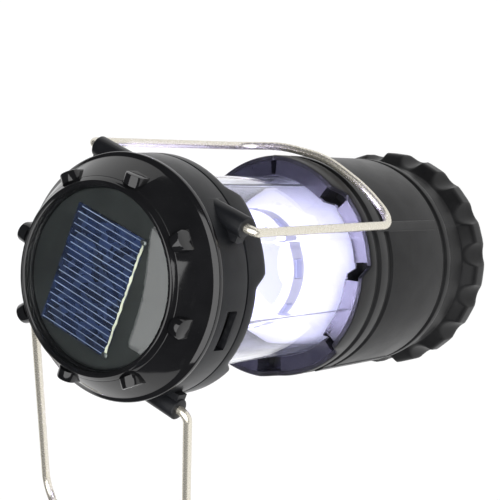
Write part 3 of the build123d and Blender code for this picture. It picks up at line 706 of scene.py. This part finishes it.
def build_lens():
    """Clear tube with faint axial seams, and what it carries inside."""
    seams = [SEAM_TURN + 45 * k for k in range(8)]
    inner = TUBE_R - TUBE_WALL

    def outline(angle):
        off = min(abs((angle - s + 180) % 360 - 180) for s in seams)
        dip = 0.22 * (1 - smoothstep(0.2, 1.0, off))
        facet = 0.12 * (off / 22.5) ** 2
        outer = TUBE_R - dip - facet
        return [(inner, TUBE_FOOT_Z), (outer - 0.2, TUBE_FOOT_Z), (outer, TUBE_FOOT_Z + 0.2),
                (outer, PLATE_Z), (inner, PLATE_Z)]

    extra = [s + d for s in seams for d in (-1.2, -0.7, -0.35, 0, 0.35, 0.7, 1.2)]
    tube = new_piece("lens_shell", polar_skin(bmesh.new(), outline, turn(144, extra)))
    place(tube, "head", LENS, "clear_tube", "lens_tube")

    funnel = lathe("funnel", [
        (FUNNEL_BORE_R, TUBE_FOOT_Z), (FUNNEL_FOOT_R, TUBE_FOOT_Z), (FUNNEL_FOOT_R, 80.0, 0.4),
        (22.6, RING_LOW - 1.2, 1.0), (RING_R, RING_LOW, 0.3), (RING_BORE_R, RING_LOW),
        (RING_BORE_R, RING_LOW - 1.2), (21.0, RING_LOW - 1.8), (29.3, 81.5),
        (29.3, TUBE_FOOT_Z + 1.4), (FUNNEL_BORE_R, TUBE_FOOT_Z + 1.4)], 120, 0.2)
    # the funnel takes the white material with a painted glow
    place(funnel, "head", WHITE_PAINTED_GLOW, "white_plastic", "reflector_funnel")

    pitch = 360 / RING_LIGHTS
    mid = (RING_LOW + RING_HIGH) / 2

    def ring_outline(angle):
        off = abs((angle - RING_TURN + pitch / 2) % pitch - pitch / 2)
        cut = 0.75 * (1 - smoothstep(9.2, 9.8, off))
        return [(RING_R, RING_LOW), (RING_R, mid - 2.3), (RING_R - cut, mid - 2.2),
                (RING_R - cut, mid + 2.2), (RING_R, mid + 2.3), (RING_R, RING_HIGH - 0.3),
                (RING_R - 0.3, RING_HIGH), (RING_BORE_R + 0.3, RING_HIGH),
                (RING_BORE_R, RING_HIGH - 0.3), (RING_BORE_R, RING_LOW)]

    extra = [RING_TURN + pitch * k + side * d for k in range(RING_LIGHTS) for side in (-1, 1)
             for d in (9.2, 9.5, 9.8)]
    ring = new_piece("lamp_ring", polar_skin(bmesh.new(), ring_outline, turn(120, extra)))
    place(ring, "head", RING_PAINTED_GLOW, "white_plastic", "light_ring")
    bm = bmesh.new()
    for k in range(RING_LIGHTS):
        radial_prism(bm, RING_TURN + pitch * k, [
            (RING_R - 0.8, box_outline(3.1, mid - 1.8, mid + 1.8)),
            (RING_R + 0.1, box_outline(3.1, mid - 1.8, mid + 1.8)),
            (RING_R + 0.25, box_outline(3.1, mid - 1.8, mid + 1.8, 0.15))])
    place(new_piece("lamp_chips", bm), "head", CHIP, "led_epoxy", "side_leds")
    plate = lathe("lamp_plate", [(0, PLATE_Z - 1.2), (31.2, PLATE_Z - 1.2, 0.2), (31.2, PLATE_Z),
                                 (0, PLATE_Z)], 96, 0.1)
    place(plate, "head", LAMP, "white_plastic", "reflector_plate")


# ---- barrel ---------------------------------------------------------------------------------
GROOVES = (83.0, 74.3, 31.2)
GROOVE_SHAPE = ((2.0, 0.0), (1.75, 0.06), (1.45, 0.3), (1.1, 0.72), (0.7, 0.9))
STRIP_HALF = 2.0
STRIP_RISE = 0.4
SLOT_HALF = 3.0
SLOT_MIDDLE_R = 36
SLOT_DEPTH = 5.4


def strip(angle):
    """1 on a raised strip of the barrel, 0 off it."""
    off = off_lobe(angle) * math.radians(1) * BARREL_R
    return 1 - smoothstep(STRIP_HALF - 0.35, STRIP_HALF + 0.05, off)


def build_sleeve():
    """Barrel sleeve: recessed mouth, three grooves and four raised strips."""

    def outline(angle):
        edge = MOUTH_Z - MOUTH_DROP * lobe(angle, 7)
        rise = strip(angle)
        top_groove, mid_groove, foot_groove = GROOVES

        def wall(z, depth=0.0):
            on_strip = rise if foot_groove + 2.4 < z < top_groove - 1.7 else 0.0
            return BARREL_R - depth * (1 - on_strip) + STRIP_RISE * on_strip, z

        def groove(z):
            into = [wall(z - off, depth) for off, depth in GROOVE_SHAPE]
            return into + [wall(z + off, depth) for off, depth in reversed(GROOVE_SHAPE)]

        points = [(SLEEVE_BORE_R, SLEEVE_Z), (39.9, SLEEVE_Z), (40.5, SLEEVE_Z + 0.25),
                  (BARREL_R - 0.05, SLEEVE_Z + 0.8), (BARREL_R, SLEEVE_Z + 1.5)]
        points += groove(foot_groove) + [wall(foot_groove + 2.3), wall(foot_groove + 2.7)]
        points += groove(mid_groove) + [wall(top_groove - 2.2)]
        points += groove(top_groove) + [
            (BARREL_R, edge - 0.7), (BARREL_R - 0.1, edge - 0.3), (BARREL_R - 0.35, edge),
            (MOUTH_BORE_R + 0.2, edge), (MOUTH_BORE_R, edge - 0.2), (MOUTH_BORE_R, COLLAR_Z),
            (SLEEVE_BORE_R, COLLAR_Z)]
        return points

    extra = lobe_edges((-3, -1.5, 0, 1.5, 3))
    half = math.degrees(STRIP_HALF / BARREL_R)
    extra += [middle + side * (half + d) for middle in LOBES for side in (-1, 1)
              for d in (-0.6, -0.35, -0.1, 0.15)]
    sleeve = new_piece("barrel_sleeve", polar_skin(bmesh.new(), outline, turn(180, extra)), 30)
    place(sleeve, "barrel", SATIN_BARREL, "satin_black", "sleeve")
    # painted glow: the bore faces below the collar take the glowing bore material
    sleeve.data.materials.append(BORE_PAINTED_GLOW)
    for face in sleeve.data.polygons:
        if face.center.z < COLLAR_Z * MM and face.center.xy.length < (SLEEVE_BORE_R + 0.1) * MM:
            face.material_index = 1


def build_collar():
    """Collar in the mouth: its shelf follows the recesses, with a slot at each step."""
    slot_half = math.degrees(SLOT_HALF / SLOT_MIDDLE_R)

    def outline(angle):
        into = abs(off_lobe(angle) - LOBE_HALF)
        level = MOUTH_Z - 0.45 - (MOUTH_DROP if off_lobe(angle) < LOBE_HALF else 0)
        slot = 1 - smoothstep(slot_half - 0.25, slot_half + 0.05, into)
        top = level + (MOUTH_Z - MOUTH_DROP - SLOT_DEPTH - level) * slot
        lip = level - 0.7 * slot
        outer = MOUTH_BORE_R - 0.05
        return [(COLLAR_R, COLLAR_Z), (outer, COLLAR_Z), (outer, top), (COLLAR_R + 0.75, top),
                (COLLAR_R + 0.7, lip), (COLLAR_R + 0.3, lip), (COLLAR_R, lip - 0.3)]

    extra = lobe_edges([t * (slot_half + d) for t in (-1, 1) for d in (-0.3, -0.2, -0.05, 0.06)])
    collar = new_piece("mouth_collar", polar_skin(bmesh.new(), outline, turn(120, extra)), 30)
    place(collar, "barrel", COLLAR, "satin_black", "collar_ring")


# ---- base -----------------------------------------------------------------------------------
SCOOPS = 16
SCOOP_START = 4.8
SCOOP_R = 5.0
SCOOP_AXIS_R = 46.9
SCOOP_Z = 2.6
SCOOP_LEAN = math.tan(math.radians(13.7))
SCOOP_BLEND = 1.0


def scooped(radius, height, angle):
    """Radius left where the nearest scoop's leaning cylinder cuts the base ring."""
    pitch = 360 / SCOOPS
    off = (angle - SCOOP_START + pitch / 2) % pitch - pitch / 2
    axis = SCOOP_AXIS_R - SCOOP_LEAN * (height - SCOOP_Z)
    aside = radius * math.sin(math.radians(off))
    if abs(aside) >= SCOOP_R:
        return radius
    cut = axis - SCOOP_R * math.sqrt(1 - (aside / SCOOP_R) ** 2)
    gap = max(SCOOP_BLEND - abs(radius - cut), 0) / SCOOP_BLEND
    return min(radius, cut) - gap ** 2 * SCOOP_BLEND / 4


def build_base():
    """Base ring with sixteen scoops in its upper corner, and the parts under it."""
    rows = [(41.6, 0.0), (42.5, 0.25), (43.1, 0.8), (43.55, 1.6), (BASE_R, 2.6), (BASE_R, 4.0),
            (BASE_R, 5.5), (BASE_R, 7.0), (43.75, 7.8), (43.5, 8.5), (43.0, 9.2), (42.2, 9.9),
            (41.2, 10.75), (40.2, 11.6), (39.3, 12.35), (38.95, 12.7), (NECK_R, 13.2)]

    def outline(angle):
        outer = [(scooped(r, z, angle), z) for r, z in rows]
        return [(25.0, 0)] + outer + [(NECK_R, SLEEVE_Z), (37.9, SLEEVE_Z), (37.9, BASE_TOP_Z),
                                      (37.2, BASE_TOP_Z), (37.2, 3.1), (27.0, 3.1), (27.0, 1.3),
                                      (25.0, 1.3)]

    pitch = 360 / SCOOPS
    extra = [SCOOP_START + pitch * k + s * d for k in range(SCOOPS) for s in (-1, 1)
             for d in (0, 1.5, 3, 4, 4.7, 5.2, 5.6, 6.0, 6.4, 6.8, 7.4, 8.2)]
    base = new_piece("scalloped_base", polar_skin(bmesh.new(), outline, turn(32, extra)), 34)
    bm = bmesh.new()
    for k in range(3):
        radial_prism(bm, 120 * k + 30, [(r, box_outline(3.6, -1, 1.4)) for r in (20, 27)])
    combine(base, new_piece("entry_slots", bm), "DIFFERENCE")
    bm = bmesh.new()
    for middle in LOBES:
        x = 31 * math.cos(math.radians(middle))
        y = 31 * math.sin(math.radians(middle))
        cylinder(bm, (x, y, -1), (x, y, 1.9), 2.7)
    combine(base, new_piece("screw_wells", bm), "DIFFERENCE")
    smooth_by_angle(base, 34)
    place(base, "barrel", SATIN_BARREL, "satin_black", "base_ring")


# ---- handles --------------------------------------------------------------------------------
WIRE_R = 1.5
ARM_X = 36.0
ARM_LENGTH = 87.05
REAR_SWING = 62.0
HANDLE_ROUTE = [(23.2, 0, 0, 0), (ARM_X, 0, 0, 2.8), (ARM_X, 1.2, ARM_LENGTH, 8.5),
                (20.0, 8.0, ARM_LENGTH, 60), (0.0, 11.6, ARM_LENGTH, 40)]


def fillet_path(stops):
    """Points along straight runs joined by tangent arcs; each stop is (point, radius)."""
    points = [stops[0][0]]
    for (before, _), (here, radius), (after, _) in zip(stops, stops[1:], stops[2:]):
        back = (before - here).normalized()
        ahead = (after - here).normalized()
        half = back.angle(ahead) / 2
        reach = radius / math.tan(half)
        centre = here + (back + ahead).normalized() * (radius / math.sin(half))
        start = here + back * reach - centre
        end = here + ahead * reach - centre
        sweep = start.angle(end)
        steps = max(6, int(math.degrees(sweep) / 4))
        axis = start.cross(end).normalized()
        for i in range(steps + 1):
            points.append(centre + Matrix.Rotation(sweep * i / steps, 3, axis) @ start)
    points.append(stops[-1][0])
    return points


def tube_along(bm, points, radius, segments=20):
    """Round bar swept along points, its ends rounded."""
    tangent = (points[1] - points[0]).normalized()
    side = tangent.orthogonal().normalized()
    loops = []
    for i, point in enumerate(points):
        ahead = points[min(i + 1, len(points) - 1)] - points[max(i - 1, 0)]
        turned = tangent.rotation_difference(ahead.normalized())
        side = (turned @ side).normalized()
        tangent = ahead.normalized()
        up = tangent.cross(side)
        loops.append([bm.verts.new(point + side * radius * math.cos(2 * math.pi * k / segments)
                                   + up * radius * math.sin(2 * math.pi * k / segments))
                      for k in range(segments)])
    for here, there in zip(loops, loops[1:]):
        for k in range(segments):
            m = (k + 1) % segments
            bm.faces.new((here[k], here[m], there[m], there[k]))
    bm.faces.new(list(reversed(loops[0])))
    bm.faces.new(loops[-1])


def build_handle(name, side, swing, body, node):
    """Bent-wire handle, swung out from hanging by an angle."""
    a = math.radians(swing)

    def point(x, out, down):
        return Vector((x, side * (PIVOT.y + out * math.cos(a) + down * math.sin(a)),
                       PIVOT.z - down * math.cos(a) + out * math.sin(a)))

    half = [(point(x, out, down), radius) for x, out, down, radius in HANDLE_ROUTE]
    mirror = [(point(-x, out, down), radius)
              for x, out, down, radius in reversed(HANDLE_ROUTE[:-1])]
    bm = bmesh.new()
    tube_along(bm, fillet_path(half + mirror), WIRE_R)
    place(new_piece(name, bm, 50), body, WIRE, "nickel_wire", node)


# ---- carried-over CAD parts -----------------------------------------------------------------
# the led board and battery holder take materials with a painted glow
CAD_FINISH = {
    "head_screws": STEEL, "charge_board": BOARD, "usb_socket": STEEL, "usb_tongue": TRAY,
    "board_parts": PARTS, "cell_leads": LEAD, "led_board": WHITE_PAINTED_GLOW, "leds": BULB,
    "tube_flange": SATIN, "contact_wipers": BRASS, "contact_rails": BRASS, "base_screws": STEEL,
    "battery_holder": HOLDER_PAINTED_GLOW, "battery_cells": JACKET, "contact_plate": STEEL,
    "battery_cover": SATIN, "contact_springs": STEEL,
}


def finish_cad_parts():
    """Give each carried-over CAD node its material."""
    for node, material in CAD_FINISH.items():
        mesh = frame["nodes"][node].data
        mesh.materials.clear()
        mesh.materials.append(material)


# ---- studio ---------------------------------------------------------------------------------
CAMERA_RIGHT = Vector((0.7511, 0.3354, -0.5686))
CAMERA_UP = Vector((-0.4272, 0.9036, -0.0312))
CAMERA_FROM_RIM = Vector((254.4, 141.8, 346.3))
LENS_MM = 102.0


def build_camera():
    """Long lens that looks down on the cap, rolled so that the lantern lies across."""
    right = CAMERA_RIGHT.normalized()
    back = right.cross(CAMERA_UP).normalized()
    up = back.cross(right)
    rotation = Matrix((right, up, back)).transposed()
    camera = bpy.data.objects.new("camera", bpy.data.cameras.new("camera"))
    place_m = (CAMERA_FROM_RIM + Vector((0, 0, RIM_Z))) * MM
    camera.matrix_world = Matrix.Translation(place_m) @ rotation.to_4x4()
    camera.data.lens = LENS_MM
    camera.data.sensor_width = 36
    camera.data.shift_x = 0.0014
    camera.data.clip_start = 0.01
    bpy.context.scene.collection.objects.link(camera)
    bpy.context.scene.camera = camera


SOFTBOX_FROM = Vector((0.42, 0.02, 0.90))
SOFTBOX_AIM = Vector((0, 0, 0.12))
SOFTBOX_AWAY_M = 1.1
SOFTBOX_SIDE_M = 1.8
SOFTBOX_WATTS = 29


def build_softbox():
    """Large softbox over the lantern."""
    data = bpy.data.lights.new("softbox", "AREA")
    data.size = SOFTBOX_SIDE_M
    data.energy = SOFTBOX_WATTS
    lamp = bpy.data.objects.new("softbox", data)
    lamp.location = SOFTBOX_AIM + SOFTBOX_FROM.normalized() * SOFTBOX_AWAY_M
    lamp.rotation_euler = SOFTBOX_FROM.to_track_quat("Z", "Y").to_euler()
    bpy.context.scene.collection.objects.link(lamp)


FLOOR_HALF = 30000


def build_studio():
    """Pale floor and soft fill."""
    bm = bmesh.new()
    bmesh.ops.create_grid(bm, x_segments=1, y_segments=1, size=FLOOR_HALF)
    floor = new_piece("floor", bm)
    n = Nodes("studio_floor")
    tone = n.ramp(n.noise(3, 3), 0.3, 0.7)
    n.link(n.blend_colours(tone, (0.06, 0.06, 0.06), (0.07, 0.07, 0.07)),
           n.shader.inputs["Base Color"])
    n.set(Roughness=0.9, Specular_IOR_Level=0.1)
    n.set(Emission_Color=(1, 1, 1, 1), Emission_Strength=0.97)
    floor.data.materials.append(n.material)
    world = bpy.data.worlds.new("studio")
    world.use_nodes = True
    background = world.node_tree.nodes["Background"]
    background.inputs["Color"].default_value = (0.9, 0.93, 1.0, 1)
    background.inputs["Strength"].default_value = 0.08
    scene = bpy.context.scene
    scene.world = world
    scene.view_settings.view_transform = "Standard"
    scene.view_settings.look = "None"


build_camera()
build_cap()
build_dome()
build_panel()
build_housing()
build_skirt()
build_lens()
build_sleeve()
build_collar()
build_base()
build_handle("front_bail", 1, 0, "front_handle", "front_handle")
build_handle("rear_bail", -1, REAR_SWING, "rear_handle", "rear_handle")
finish_cad_parts()
build_softbox()
build_studio()
